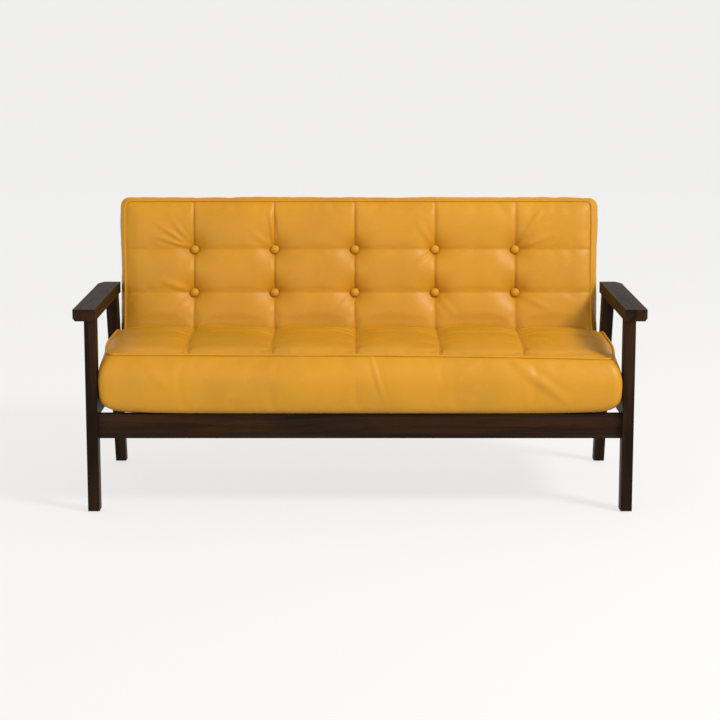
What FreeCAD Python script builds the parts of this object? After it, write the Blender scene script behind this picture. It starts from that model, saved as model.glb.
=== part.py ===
import FreeCAD, Part
import math
import os

# Three-seat sofa: a dark wooden frame with raked rear legs, a loose box seat cushion on slats
# and a tufted back panel bolted between the rear legs. Millimetres.
# +X is to the right as seen from the front, +Y runs from front to back, +Z is up; "left" and
# "right" are as seen from the front. Pieces are built with Y = 0 at the front legs' front faces,
# and everything then moves so that the origin is on the floor under the middle of the sofa.

Vec = FreeCAD.Vector

# ---- driving dimensions -------------------------------------------------------------------
LEGS_OUTER_WIDTH = 1600.0     # over the outer faces of the legs
LEG_WIDTH = 34.0              # every leg, side to side
FRONT_LEG_DEPTH = 45.0
REAR_FOOT_FRONT = 620.0       # front face of a rear leg at the floor
REAR_FOOT_DEPTH = 40.0
REAR_TOP_FRONT = 456.0        # front face of a rear leg under the armrest
REAR_TOP_DEPTH = 66.0
ARM_TOP = 604.0
ARM_THICKNESS = 34.0
ARM_WIDTH = 67.0              # inner edge flush with the legs
ARM_FRONT_OVERHANG = 5.0
ARM_REAR_END = 566.0
ARM_FRONT_CHAMFER = 10.0      # outer front corner, in plan
ARM_REAR_CHAMFER = (15.0, 38.0)   # outer rear corner: across and along the board
ARM_UNDER_CHAMFER = 7.0
RAIL_TOP = 292.0
RAIL_HEIGHT = 73.0
RAIL_THICKNESS = 25.0
FRONT_RAIL_SETBACK = 15.0
SIDE_RAIL_DROP = 17.0         # the side rails' underside below the cross rails' top
SIDE_RAIL_HEIGHT = 65.0
SIDE_RAIL_THICKNESS = 24.0
STRETCHER_WIDTH = 30.0
STRETCHER_HEIGHT = 50.0
CLEAT = 22.0                  # square section of the strips that carry the slats
CLEAT_OVERHANG = 15.0         # beyond the outermost slat
SLAT_COUNT = 7
SLAT_WIDTH = 80.0
SLAT_THICKNESS = 15.0
SLAT_END_GAP = 186.0          # open bay between the last slat and the legs
SEAT_HEIGHT = 182.0           # cushion, from the slats to its crown
SEAT_FRONT_BULGE = 15.0       # cushion in front of the legs
SEAT_TOP_EDGE = 24.0          # rounding of the cushion's top edge
SEAT_BOTTOM_EDGE = 40.0       # rounding of its bottom edge
SEAT_CORNER = 50.0            # rounding of its upright corners
BACK_RECLINE = 12.0           # degrees from upright
BACK_SEAM_TOP = 857.0         # height of the piping along the top of the back
BACK_AHEAD_OF_LEGS = 59.1     # the back's foot in front of the rear legs, at the rails' top
BACK_TOP_CROWN = 14.0         # the back's top edge above that piping, along the slope
BACK_CROWN = 15.0             # puff of the tufted face in front of the piping
BACK_FOAM = 50.0              # foam behind the piping's plane
BACK_BOARD = 5.0
BACK_FRAME_DEPTH = 55.0
BACK_FRONT_EDGE = 22.0        # rounding of the back's front edges
BACK_REAR_EDGE = 8.0
BACK_CORNER = 28.0            # rounding of its top corners
MEMBER_THICKNESS = 28.0       # boards of the back's inner frame
STRUT_DEPTH = 30.0
BACK_RAIL_HEIGHT = 45.0
TUFT_COLUMNS = 5
TUFT_PITCH = 255.5
TUFT_SHIFT = -16.5            # the tufting is sewn a little off the middle
TUFT_ROWS = (152.0, 289.5)    # below the top piping, along the slope
DIMPLE_DEPTH = 12.0
DIMPLE_RADIUS = 60.0          # of the sphere that the cover is drawn in to
BUTTON_DIAMETER = 30.0
BUTTON_RIM = 3.0
BUTTON_HEIGHT = 9.0
COVER = 1.5                   # leather and its lining
PIPING_DIAMETER = 7.0
ZIP_LENGTH = 1100.0
ZIP_WIDTH = 24.0
ZIP_THICKNESS = 1.2

# ---- joints and hardware ------------------------------------------------------------------
TENON_LENGTH = 18.0
TENON_THICKNESS = 12.0
TENON_SHOULDER = 10.0         # wood left above and below a tenon
GLUE_GAP = 0.15
EASED_EDGE = 2.5
RAIL_BOLT = 8.0
RAIL_BOLT_INSET = 18.0        # from a rail's top and bottom edges
RAIL_BOLT_REACH = 36.0        # into the rail
BARREL_NUT = 10.0
BARREL_LENGTH = 16.0
BARREL_DEPTH = 30.0           # from the rail's end
HEAD_HEIGHT = 3.5
HEAD_RECESS = 5.0
HEAD_RATIO = 1.9              # head diameter to shank
BOLT_GAP = 0.3                # around shanks, heads and nuts
DOWEL = 8.0
DOWEL_LENGTH = 40.0
DOWEL_IN_RAIL = 14.0          # a stretcher dowel's length inside the rail
STRETCHER_DOWELS = (10.0, 25.0)   # above the stretcher's underside
SCREW = 4.0
SCREW_HEAD = 8.0
SCREW_HEAD_HEIGHT = 2.5
SLAT_SCREW_LENGTH = 30.0
CLEAT_SCREW_LENGTH = 34.0
SCREW_GAP = 0.05
BACK_BOLT = 6.0
BACK_BOLT_HEIGHTS = (33.0, 73.0)  # above the rails' top
INSERT_DIAMETER = 10.0
INSERT_LENGTH = 15.0
SPACER_DIAMETER = 18.0
BASE_BOLT_X = (-560.0, -200.0, 200.0, 560.0)
BASE_BOLT_LENGTH = 60.0
BASE_BOLT_REACH = 25.0        # into the back's bottom rail
TWINE = 2.0
ANCHOR_DIAMETER = 20.0
ANCHOR_THICKNESS = 3.0
GLIDE_DIAMETER = 22.0
GLIDE_HEIGHT = 3.0
GLIDE_PIN = 2.5
GLIDE_PIN_LENGTH = 15.0

# ---- clearances -----------------------------------------------------------------------------
SEAT_REST_GAP = 0.4           # between the loose cushion and what it lies on
SEAT_SIDE_GAP = 1.0           # between the loose cushion and each leg
SEAT_BACK_GAP = 3.0           # between the loose cushion and the back, square to the back
BACK_SIDE_GAP = 9.0           # between the back and each rear leg, filled by spacers at the bolts

# ---- worked out -------------------------------------------------------------------------------
leg_outer = LEGS_OUTER_WIDTH / 2
leg_inner = leg_outer - LEG_WIDTH
leg_middle = leg_outer - LEG_WIDTH / 2
arm_bottom = ARM_TOP - ARM_THICKNESS
rail_bottom = RAIL_TOP - RAIL_HEIGHT
side_rail_bottom = RAIL_TOP - SIDE_RAIL_DROP
front_rail_back = FRONT_RAIL_SETBACK + RAIL_THICKNESS
slat_bottom = RAIL_TOP - SLAT_THICKNESS
last_slat = leg_inner - SLAT_END_GAP - SLAT_WIDTH / 2
slat_pitch = 2 * last_slat / (SLAT_COUNT - 1)
slat_centres = [-last_slat + slat_pitch * i for i in range(SLAT_COUNT)]
cleat_end = last_slat + SLAT_WIDTH / 2 + CLEAT_OVERHANG
slope = math.radians(BACK_RECLINE)
seam_along = (BACK_SEAM_TOP - RAIL_TOP) / math.cos(slope)
back_top = seam_along + BACK_TOP_CROWN
board_front = BACK_FOAM
frame_front = board_front + BACK_BOARD
frame_back = frame_front + BACK_FRAME_DEPTH
back_half = leg_inner - BACK_SIDE_GAP
stile_outer = back_half - COVER
stile_inner = stile_outer - MEMBER_THICKNESS
tuft_x = [TUFT_SHIFT + TUFT_PITCH * (i - (TUFT_COLUMNS - 1) / 2) for i in range(TUFT_COLUMNS)]
tuft_places = [(x, seam_along - row) for row in TUFT_ROWS for x in tuft_x]


def along_rear_leg(z, foot, top):
    """Y of a rear leg's face at height z, on the straight line from its foot to its top."""
    return foot + (top - foot) * z / arm_bottom


def rear_leg_front(z):
    return along_rear_leg(z, REAR_FOOT_FRONT, REAR_TOP_FRONT)


def rear_leg_back(z):
    return along_rear_leg(z, REAR_FOOT_FRONT + REAR_FOOT_DEPTH, REAR_TOP_FRONT + REAR_TOP_DEPTH)


rail_middle_z = (rail_bottom + RAIL_TOP) / 2
rear_rail_front = (rear_leg_front(rail_middle_z) + rear_leg_back(rail_middle_z) - RAIL_THICKNESS) / 2
back_foot_y = rear_leg_front(RAIL_TOP) - BACK_AHEAD_OF_LEGS


def back_plane_y(depth, z):
    """Y at height z of the plane that lies this depth behind the back's front piping."""
    return back_foot_y + (z - RAIL_TOP) * math.tan(slope) + depth / math.cos(slope)


# ---- shapes -----------------------------------------------------------------------------------
def box(x, y, z):
    """A box between pairs of x, y and z."""
    return Part.makeBox(x[1] - x[0], y[1] - y[0], z[1] - z[0], Vec(x[0], y[0], z[0]))


def prism(points, x):
    """A side-view outline of (y, z) points, drawn out between a pair of x."""
    corners = [Vec(x[0], y, z) for y, z in points]
    face = Part.Face(Part.makePolygon(corners + corners[:1]))
    return face.extrude(Vec(x[1] - x[0], 0, 0))


def rod(start, direction, length, diameter):
    return Part.makeCylinder(diameter / 2, length, Vec(*start), Vec(*direction))


def mirrored(shape):
    return shape.mirror(Vec(0, 0, 0), Vec(1, 0, 0))


def joined(shapes):
    return shapes[0].multiFuse(shapes[1:]).removeSplitter() if len(shapes) > 1 else shapes[0]


def edges_along(shape, axis, shortest):
    """The straight edges that run within a raked leg's lean of an axis and aren't short."""
    found = []
    for edge in shape.Edges:
        ends = edge.Vertexes
        if isinstance(edge.Curve, Part.Line) and edge.Length > shortest:
            way = ends[1].Point.sub(ends[0].Point).normalize()
            if abs(way.dot(axis)) > math.cos(math.radians(20)):
                found.append(edge)
    return found


def eased(shape, axis, shortest, radius=EASED_EDGE):
    return shape.makeFillet(radius, edges_along(shape, axis, shortest))


def grown(x, y, z, gap):
    """A box that is larger by a gap on every side, for the hole that a piece goes in."""
    return box((x[0] - gap, x[1] + gap), (y[0] - gap, y[1] + gap), (z[0] - gap, z[1] + gap))


def placed_on_back(shape):
    """Leans a shape drawn upright, with its piping's plane at Y = 0, to the back's place."""
    leaned = shape.copy()
    leaned.rotate(Vec(0, 0, 0), Vec(1, 0, 0), -BACK_RECLINE)
    leaned.translate(Vec(0, back_foot_y, RAIL_TOP))
    return leaned


def above(z):
    """A block that fills everything above a height."""
    reach = LEGS_OUTER_WIDTH
    return box((-reach, reach), (-reach, reach), (z, z + 2 * reach))


# ---- fasteners ----------------------------------------------------------------------------------
def bolt(start, direction, length, diameter, gap=0.0):
    """A flat-headed bolt whose shank starts under its head; with a gap, the hole it goes in."""
    way = Vec(*direction)
    shank = rod(start, direction, length + gap, diameter + 2 * gap)
    head = rod(start, tuple(way * -1), HEAD_RECESS if gap else HEAD_HEIGHT, diameter * HEAD_RATIO + 2 * gap)
    whole = shank.fuse(head)
    if not gap:
        mouth = Vec(*start) - way * HEAD_HEIGHT
        whole = whole.cut(hexagon_socket(mouth, way, diameter * 0.6))
    return whole


def hexagon_socket(mouth, way, across_flats):
    """The hexagonal recess of a key, cut into a head from its mouth."""
    side_way = Vec(0, 0, 1) if abs(way.z) < 0.5 else Vec(1, 0, 0)
    reach = across_flats / math.sqrt(3)
    corners = []
    for i in range(6):
        turn = FreeCAD.Rotation(way, 60 * i)
        corners.append(mouth + turn.multVec(side_way) * reach)
    face = Part.Face(Part.makePolygon(corners + corners[:1]))
    return face.extrude(way * (HEAD_HEIGHT * 0.7))


def screw(start, direction, length, gap=0.0):
    """A countersunk wood screw that starts at its flat head; with a gap, its hole."""
    way = Vec(*direction)
    neck = SCREW_HEAD_HEIGHT
    head = Part.makeCone(SCREW_HEAD / 2 + gap, SCREW / 2 + gap, neck, Vec(*start), way)
    shank = rod(tuple(Vec(*start) + way * neck), direction, length - neck - SCREW, SCREW + 2 * gap)
    tip_start = Vec(*start) + way * (length - SCREW)
    tip = Part.makeCone(SCREW / 2 + gap, 0.3, SCREW + gap, tip_start, way)
    return joined([head, shank, tip])


def rail_bolt_places():
    """Where the rails' bolts cross the legs: the rail's middle in Y, the height, and the side."""
    heights = (rail_bottom + RAIL_BOLT_INSET, RAIL_TOP - RAIL_BOLT_INSET)
    for front, nut_side in ((FRONT_RAIL_SETBACK, 1), (rear_rail_front, -1)):
        for z in heights:
            for side in (-1, 1):
                yield front + RAIL_THICKNESS / 2, z, side, nut_side


def rail_bolts(gap=0.0):
    length = LEG_WIDTH - HEAD_RECESS + RAIL_BOLT_REACH
    start_x = leg_outer - HEAD_RECESS
    return [bolt((side * start_x, y, z), (-side, 0, 0), length, RAIL_BOLT, gap)
            for y, z, side, _ in rail_bolt_places()]


def barrel_nuts(gap=0.0):
    nuts = []
    for y, z, side, nut_side in rail_bolt_places():
        x = side * (leg_inner - BARREL_DEPTH)
        mouth = y + nut_side * RAIL_THICKNESS / 2
        sunk = 0.0 if gap else 2.0
        start = (x, mouth - nut_side * sunk, z)
        length = BARREL_LENGTH + (4.0 if gap else 0.0)
        nut = rod(start, (0, -nut_side, 0), length, BARREL_NUT + 2 * gap)
        if not gap:
            nut = nut.cut(rod((x - BARREL_NUT, y, z), (1, 0, 0), 2 * BARREL_NUT, RAIL_BOLT + 2 * GLUE_GAP))
        nuts.append(nut)
    return nuts


def dowels(gap=0.0):
    """Dowels between rails and legs, and between the stretcher and the rails."""
    pegs = []
    for front in (FRONT_RAIL_SETBACK, rear_rail_front):
        middle_y = front + RAIL_THICKNESS / 2
        for side in (-1, 1):
            start = (side * (leg_inner + DOWEL_LENGTH / 2 + gap), middle_y, rail_middle_z)
            pegs.append(rod(start, (-side, 0, 0), DOWEL_LENGTH + 2 * gap, DOWEL + 2 * gap))
    for rise in STRETCHER_DOWELS:
        for face, way in ((front_rail_back, 1), (rear_rail_front, -1)):
            start = (0, face - way * (DOWEL_IN_RAIL + gap), slat_bottom - STRETCHER_HEIGHT + rise)
            pegs.append(rod(start, (0, way, 0), DOWEL_LENGTH + 2 * gap, DOWEL + 2 * gap))
    return pegs


def slat_screws(gap=0.0):
    rows = (front_rail_back + CLEAT / 2, rear_rail_front - CLEAT / 2)
    return [screw((x, y, RAIL_TOP), (0, 0, -1), SLAT_SCREW_LENGTH, gap) for x in slat_centres for y in rows]


def cleat_screws(gap=0.0):
    """Screws through the cleats into the rails, half way between slats."""
    between = [x + slat_pitch / 2 for x in slat_centres[:-1]]
    z = slat_bottom - CLEAT / 2
    front = [screw((x, front_rail_back + CLEAT, z), (0, -1, 0), CLEAT_SCREW_LENGTH, gap) for x in between]
    rear = [screw((x, rear_rail_front - CLEAT, z), (0, 1, 0), CLEAT_SCREW_LENGTH, gap) for x in between]
    return front + rear


def back_bolt_places():
    """Where the back is bolted: half way between the stile's front and the leg's back."""
    for rise in BACK_BOLT_HEIGHTS:
        z = RAIL_TOP + rise
        yield (back_plane_y(frame_front, z) + rear_leg_back(z)) / 2, z


def back_bolts(gap=0.0):
    start_x = leg_outer - HEAD_RECESS
    length = start_x - stile_outer + INSERT_LENGTH - 1.0
    return [bolt((side * start_x, y, z), (-side, 0, 0), length, BACK_BOLT, gap)
            for y, z in back_bolt_places() for side in (-1, 1)]


def back_inserts(gap=0.0):
    """Threaded inserts in the stiles; with a gap, the holes that they are driven into."""
    shapes = []
    for y, z in back_bolt_places():
        for side in (-1, 1):
            start = (side * stile_outer, y, z)
            body = rod(start, (-side, 0, 0), INSERT_LENGTH + gap, INSERT_DIAMETER + 2 * gap)
            if not gap:
                body = body.cut(rod(start, (-side, 0, 0), INSERT_LENGTH, BACK_BOLT + 2 * GLUE_GAP))
            shapes.append(body)
    return shapes


def back_spacers():
    shapes = []
    for y, z in back_bolt_places():
        for side in (-1, 1):
            start = (side * back_half, y, z)
            length = leg_inner - back_half
            body = rod(start, (side, 0, 0), length, SPACER_DIAMETER)
            shapes.append(body.cut(rod(start, (side, 0, 0), length, BACK_BOLT + 2 * BOLT_GAP)))
    return shapes


def base_bolts(gap=0.0):
    """Upright bolts from under the rear rail into the back's bottom rail."""
    y = rear_rail_front + RAIL_THICKNESS / 2
    seat = RAIL_TOP + BASE_BOLT_REACH - BASE_BOLT_LENGTH
    shapes = []
    for x in BASE_BOLT_X:
        shape = bolt((x, y, seat), (0, 0, 1), BASE_BOLT_LENGTH, BACK_BOLT, gap)
        if gap:
            width = BACK_BOLT * HEAD_RATIO + 2 * gap
            shape = shape.fuse(rod((x, y, rail_bottom), (0, 0, 1), seat - rail_bottom, width))
        shapes.append(shape)
    return shapes


def foot_places():
    rear_middle = (rear_leg_front(GLIDE_HEIGHT) + rear_leg_back(GLIDE_HEIGHT)) / 2
    return [(side * leg_middle, y) for y in (FRONT_LEG_DEPTH / 2, rear_middle) for side in (-1, 1)]


def glides(gap=0.0):
    shapes = []
    for x, y in foot_places():
        pin = rod((x, y, GLIDE_HEIGHT), (0, 0, 1), GLIDE_PIN_LENGTH + gap, GLIDE_PIN + 2 * gap)
        pad = rod((x, y, 0), (0, 0, 1), GLIDE_HEIGHT, GLIDE_DIAMETER)
        pad = pad.makeChamfer(1.0, [edge for edge in pad.Edges if edge.BoundBox.ZMax < 0.01])
        shapes.append(pin if gap else pad.fuse(pin))
    return shapes


# ---- wooden frame -------------------------------------------------------------------------------
def tenon_x():
    return (leg_middle - TENON_THICKNESS / 2, leg_middle + TENON_THICKNESS / 2)


def leg_top_tenon(front, back):
    """The tongue on a leg's top that is glued into the armrest, as pairs of x, y and z."""
    return tenon_x(), (front + TENON_SHOULDER, back - TENON_SHOULDER), (arm_bottom, arm_bottom + TENON_LENGTH)


def side_rail_tenons():
    z = (side_rail_bottom + TENON_SHOULDER, side_rail_bottom + SIDE_RAIL_HEIGHT - TENON_SHOULDER)
    rear_start = rear_leg_front(z[1]) - TENON_LENGTH
    rear_end = rear_leg_front((z[0] + z[1]) / 2) + TENON_LENGTH
    front = (tenon_x(), (FRONT_LEG_DEPTH - TENON_LENGTH, FRONT_LEG_DEPTH + TENON_LENGTH), z)
    rear = (tenon_x(), (rear_start, rear_end), z)
    return front, rear


def front_leg():
    body = box((leg_inner, leg_outer), (0, FRONT_LEG_DEPTH), (GLIDE_HEIGHT, arm_bottom))
    body = eased(body, Vec(0, 0, 1), FRONT_LEG_DEPTH * 2)
    body = joined([body, box(*leg_top_tenon(0, FRONT_LEG_DEPTH))])
    body = body.cut(grown(*side_rail_tenons()[0], GLUE_GAP))
    return body.cut(Part.makeCompound(leg_holes()))


def rear_leg():
    low, high = GLIDE_HEIGHT, arm_bottom
    outline = [(rear_leg_front(low), low), (rear_leg_back(low), low),
               (rear_leg_back(high), high), (rear_leg_front(high), high)]
    body = eased(prism(outline, (leg_inner, leg_outer)), Vec(0, 0, 1), REAR_TOP_DEPTH * 2)
    body = joined([body, box(*leg_top_tenon(rear_leg_front(high), rear_leg_back(high)))])
    body = body.cut(grown(*side_rail_tenons()[1], GLUE_GAP))
    return body.cut(Part.makeCompound(leg_holes() + back_bolts(BOLT_GAP)))


def leg_holes():
    return rail_bolts(BOLT_GAP) + dowels(GLUE_GAP) + glides(GLUE_GAP)


def armrest():
    inner, outer = leg_inner, leg_inner + ARM_WIDTH
    front, across, along = -ARM_FRONT_OVERHANG, *ARM_REAR_CHAMFER
    plan = [(inner, front), (outer - ARM_FRONT_CHAMFER, front), (outer, front + ARM_FRONT_CHAMFER),
            (outer, ARM_REAR_END - along), (outer - across, ARM_REAR_END), (inner, ARM_REAR_END)]
    corners = [Vec(x, y, arm_bottom) for x, y in plan]
    board = Part.Face(Part.makePolygon(corners + corners[:1])).extrude(Vec(0, 0, ARM_THICKNESS))
    top = [edge for edge in board.Edges if edge.BoundBox.ZMin > ARM_TOP - 0.01]
    board = board.makeFillet(EASED_EDGE, top)
    under = [edge for edge in board.Edges
             if edge.BoundBox.ZMax < arm_bottom + 0.01 and edge.BoundBox.XMin > outer - 0.01]
    board = board.makeChamfer(ARM_UNDER_CHAMFER, under)
    for leg_front, leg_back in ((0, FRONT_LEG_DEPTH), (rear_leg_front(arm_bottom), rear_leg_back(arm_bottom))):
        board = board.cut(grown(*leg_top_tenon(leg_front, leg_back), GLUE_GAP))
    return board


def side_rail():
    low, high = side_rail_bottom, side_rail_bottom + SIDE_RAIL_HEIGHT
    x = (leg_middle - SIDE_RAIL_THICKNESS / 2, leg_middle + SIDE_RAIL_THICKNESS / 2)
    outline = [(FRONT_LEG_DEPTH, low), (rear_leg_front(low), low),
               (rear_leg_front(high), high), (FRONT_LEG_DEPTH, high)]
    body = eased(prism(outline, x), Vec(0, 1, 0), FRONT_LEG_DEPTH * 2)
    return joined([body] + [box(*tenon) for tenon in side_rail_tenons()])


def cross_rail(front):
    body = box((-leg_inner, leg_inner), (front, front + RAIL_THICKNESS), (rail_bottom, RAIL_TOP))
    body = eased(body, Vec(1, 0, 0), leg_inner)
    holes = rail_bolts(BOLT_GAP) + barrel_nuts(BOLT_GAP) + dowels(GLUE_GAP) + cleat_screws(SCREW_GAP)
    return body.cut(Part.makeCompound(holes))


def rear_rail():
    return cross_rail(rear_rail_front).cut(Part.makeCompound(base_bolts(BOLT_GAP)))


def stretcher():
    body = box((-STRETCHER_WIDTH / 2, STRETCHER_WIDTH / 2), (front_rail_back, rear_rail_front),
               (slat_bottom - STRETCHER_HEIGHT, slat_bottom))
    return body.cut(Part.makeCompound(dowels(GLUE_GAP) + slat_screws(SCREW_GAP)))


def cleats(front):
    """The two strips on one rail, one each side of the stretcher."""
    gap = STRETCHER_WIDTH / 2 + GLUE_GAP
    holes = Part.makeCompound(slat_screws(SCREW_GAP) + cleat_screws(SCREW_GAP))
    strips = [box(x, (front, front + CLEAT), (slat_bottom - CLEAT, slat_bottom))
              for x in ((-cleat_end, -gap), (gap, cleat_end))]
    return [strip.cut(holes) for strip in strips]


def slat(middle):
    ends = (front_rail_back + GLUE_GAP, rear_rail_front - GLUE_GAP)
    body = box((middle - SLAT_WIDTH / 2, middle + SLAT_WIDTH / 2), ends, (slat_bottom, RAIL_TOP))
    body = eased(body, Vec(0, 1, 0), SLAT_WIDTH * 2)
    return body.cut(Part.makeCompound(slat_screws(SCREW_GAP)))


# ---- seat cushion -------------------------------------------------------------------------------
def seat_form(inset):
    """The loose cushion's outer form, or the form this far inside it."""
    low = RAIL_TOP + SEAT_REST_GAP + inset
    high = RAIL_TOP + SEAT_REST_GAP + SEAT_HEIGHT - inset
    half = leg_inner - SEAT_SIDE_GAP - inset
    front = -SEAT_FRONT_BULGE + inset
    depth = -BACK_CROWN - SEAT_BACK_GAP - inset
    outline = [(front, low), (back_plane_y(depth, low), low), (back_plane_y(depth, high), high), (front, high)]
    body = prism(outline, (-half, half))
    upright = [edge for edge in body.Edges if edge.BoundBox.ZLength > SEAT_HEIGHT / 2]
    body = body.makeFillet(SEAT_CORNER - inset, upright)
    top = [edge for edge in body.Edges if edge.BoundBox.ZMin > high - 0.01]
    body = body.makeFillet(SEAT_TOP_EDGE - inset, top)
    bottom = [edge for edge in body.Edges if edge.BoundBox.ZMax < low + 0.01]
    return body.makeFillet(SEAT_BOTTOM_EDGE - inset, bottom)


def rounded_loop(x, y, z, radius):
    """A level rounded rectangle, as one closed wire."""
    turns = []
    centres = [(x[1] - radius, y[1] - radius), (x[0] + radius, y[1] - radius),
               (x[0] + radius, y[0] + radius), (x[1] - radius, y[0] + radius)]
    for quarter, (cx, cy) in enumerate(centres):
        start = quarter * 90
        points = []
        for angle in (start, start + 45, start + 90):
            turn = math.radians(angle)
            points.append(Vec(cx + radius * math.cos(turn), cy + radius * math.sin(turn), z))
        turns.append(points)
    edges = []
    for i, points in enumerate(turns):
        edges.append(Part.Arc(*points).toShape())
        edges.append(Part.LineSegment(points[2], turns[(i + 1) % 4][0]).toShape())
    return Part.Wire(Part.__sortEdges__(edges))


def cord_round(path, start, way):
    """A round cord swept along a wire from a point on it."""
    section = Part.Wire(Part.makeCircle(PIPING_DIAMETER / 2, start, way))
    return path.makePipeShell([section], True, False)


def seat_piping():
    """The cord along the top seam, half sunk in the cushion's rounded edge."""
    inset = SEAT_TOP_EDGE * (1 - math.sqrt(0.5))
    z = RAIL_TOP + SEAT_REST_GAP + SEAT_HEIGHT - inset
    half = leg_inner - SEAT_SIDE_GAP - inset
    rear = back_plane_y(-BACK_CROWN - SEAT_BACK_GAP - inset, z)
    radius = SEAT_CORNER - inset
    loop = rounded_loop((-half, half), (-SEAT_FRONT_BULGE + inset, rear), z, radius)
    cord = cord_round(loop, Vec(0, -SEAT_FRONT_BULGE + inset, z), Vec(1, 0, 0))
    return cord.cut(seat_form(0))


def seat_zip():
    """The zip's tape with its puller, along the middle of the cushion's rear face."""
    middle = SEAT_HEIGHT / 2
    face = -BACK_CROWN - SEAT_BACK_GAP
    tape = box((-ZIP_LENGTH / 2, ZIP_LENGTH / 2), (face, face + ZIP_THICKNESS),
               (middle - ZIP_WIDTH / 2, middle + ZIP_WIDTH / 2))
    slider = box((ZIP_LENGTH / 2 - 14, ZIP_LENGTH / 2 - 4), (face + ZIP_THICKNESS, face + 2 * ZIP_THICKNESS),
                 (middle - 4, middle + 4))
    pull = box((ZIP_LENGTH / 2 - 32, ZIP_LENGTH / 2 - 14), (face + ZIP_THICKNESS, face + 1.5 * ZIP_THICKNESS),
               (middle - 3, middle + 3))
    return placed_on_back(joined([tape, slider, pull]))


# ---- back panel -----------------------------------------------------------------------------------
def back_block(x, depth, along):
    """A box in the back's own directions: across, square to its face, and up its slope."""
    return placed_on_back(box(x, depth, along))


def back_form(inset):
    """The back's outer form, or the form this far inside it, with its foot cut level."""
    half = back_half - inset
    front, rear, top = -BACK_CROWN + inset, frame_back + COVER - inset, back_top - inset
    body = box((-half, half), (front, rear), (-BACK_FRAME_DEPTH, top))
    corners = [edge for edge in body.Edges if edge.BoundBox.ZMin > top - 0.01 and edge.BoundBox.YLength > 1]
    body = body.makeFillet(BACK_CORNER - inset, corners)
    low = -BACK_FRAME_DEPTH + 0.01
    front_edges = [edge for edge in body.Edges
                   if edge.BoundBox.YMax < front + 0.01 and edge.BoundBox.ZMax > low]
    body = body.makeFillet(BACK_FRONT_EDGE - inset, front_edges)
    rear_edges = [edge for edge in body.Edges
                  if edge.BoundBox.YMin > rear - 0.01 and edge.BoundBox.ZMax > low]
    body = body.makeFillet(BACK_REAR_EDGE - inset, rear_edges)
    return placed_on_back(body).common(above(RAIL_TOP + inset))


def dimples(inset):
    """The spheres that the buttons draw the face in to."""
    centre = -BACK_CROWN + DIMPLE_DEPTH - DIMPLE_RADIUS
    balls = [Part.makeSphere(DIMPLE_RADIUS + inset, Vec(x, centre, along)) for x, along in tuft_places]
    return placed_on_back(Part.makeCompound(balls))


def twine_rods(diameter, front, rear):
    rods = [rod((x, front, along), (0, 1, 0), rear - front, diameter) for x, along in tuft_places]
    return [placed_on_back(shape) for shape in rods]


def twine_holes():
    return Part.makeCompound(twine_rods(TWINE + 2 * BOLT_GAP, -BACK_CROWN, frame_front))


def slice_of_back(form, front, rear):
    wide, tall = back_half * 2, back_top * 2
    return form.common(back_block((-wide, wide), (front, rear), (-tall, tall)))


def back_foam(inner):
    foam = slice_of_back(inner, -BACK_CROWN, board_front)
    return foam.cut(dimples(COVER)).cut(twine_holes())


def back_board(inner):
    return slice_of_back(inner, board_front, frame_front).cut(twine_holes())


def back_cover(outer, inner):
    shell = slice_of_back(outer, -BACK_CROWN, frame_back).cut(dimples(0))
    hollow = inner.cut(dimples(COVER))
    holes = Part.makeCompound(twine_rods(TWINE + 2 * BOLT_GAP, -BACK_CROWN, 0) + back_bolts(BOLT_GAP)
                              + base_bolts(BOLT_GAP))
    return shell.cut(hollow).cut(holes)


def rear_cover(outer):
    return slice_of_back(outer, frame_back, frame_back + COVER)


def back_stile(inner):
    """The right stile, with the holes of its inserts."""
    blank = back_block((stile_inner, back_half), (frame_front, frame_back), (-BACK_FRAME_DEPTH, back_top))
    holes = Part.makeCompound(back_inserts(GLUE_GAP) + back_bolts(BOLT_GAP))
    return blank.common(inner).cut(holes)


def back_rail(inner, along):
    blank = back_block((-stile_inner, stile_inner), (frame_front, frame_back), along)
    return blank.common(inner).cut(Part.makeCompound(base_bolts(BOLT_GAP)))


def back_struts():
    """Upright boards between the columns of buttons."""
    half = MEMBER_THICKNESS / 2
    low, high = BACK_RAIL_HEIGHT, back_top - COVER - BACK_RAIL_HEIGHT
    middles = [(a + b) / 2 for a, b in zip(tuft_x, tuft_x[1:])]
    depth = (frame_front, frame_front + STRUT_DEPTH)
    return [back_block((x - half, x + half), depth, (low, high)) for x in middles]


def back_piping(outer):
    """The cord around the front seam: up one side, over the top and down the other."""
    inset = BACK_FRONT_EDGE * (1 - math.sqrt(0.5))
    half, top, depth = back_half - inset, back_top - inset, -BACK_CROWN + inset
    radius = BACK_CORNER - inset
    foot = -BACK_FRAME_DEPTH
    bend = radius * (1 - math.sqrt(0.5))
    points = [Vec(half, depth, foot), Vec(half, depth, top - radius), Vec(half - bend, depth, top - bend),
              Vec(half - radius, depth, top), Vec(radius - half, depth, top), Vec(bend - half, depth, top - bend),
              Vec(-half, depth, top - radius), Vec(-half, depth, foot)]
    path = Part.Wire([Part.LineSegment(points[0], points[1]).toShape(),
                      Part.Arc(points[1], points[2], points[3]).toShape(),
                      Part.LineSegment(points[3], points[4]).toShape(),
                      Part.Arc(points[4], points[5], points[6]).toShape(),
                      Part.LineSegment(points[6], points[7]).toShape()])
    cord = cord_round(path, points[0], Vec(0, 0, 1))
    return placed_on_back(cord).common(above(RAIL_TOP + SEAT_REST_GAP)).cut(outer)


def button_back():
    """Depth of a button's back face behind the piping's plane, where its rim meets the dimple."""
    radius = BUTTON_DIAMETER / 2
    return -BACK_CROWN + DIMPLE_DEPTH - DIMPLE_RADIUS + math.sqrt(DIMPLE_RADIUS ** 2 - radius ** 2)


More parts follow.
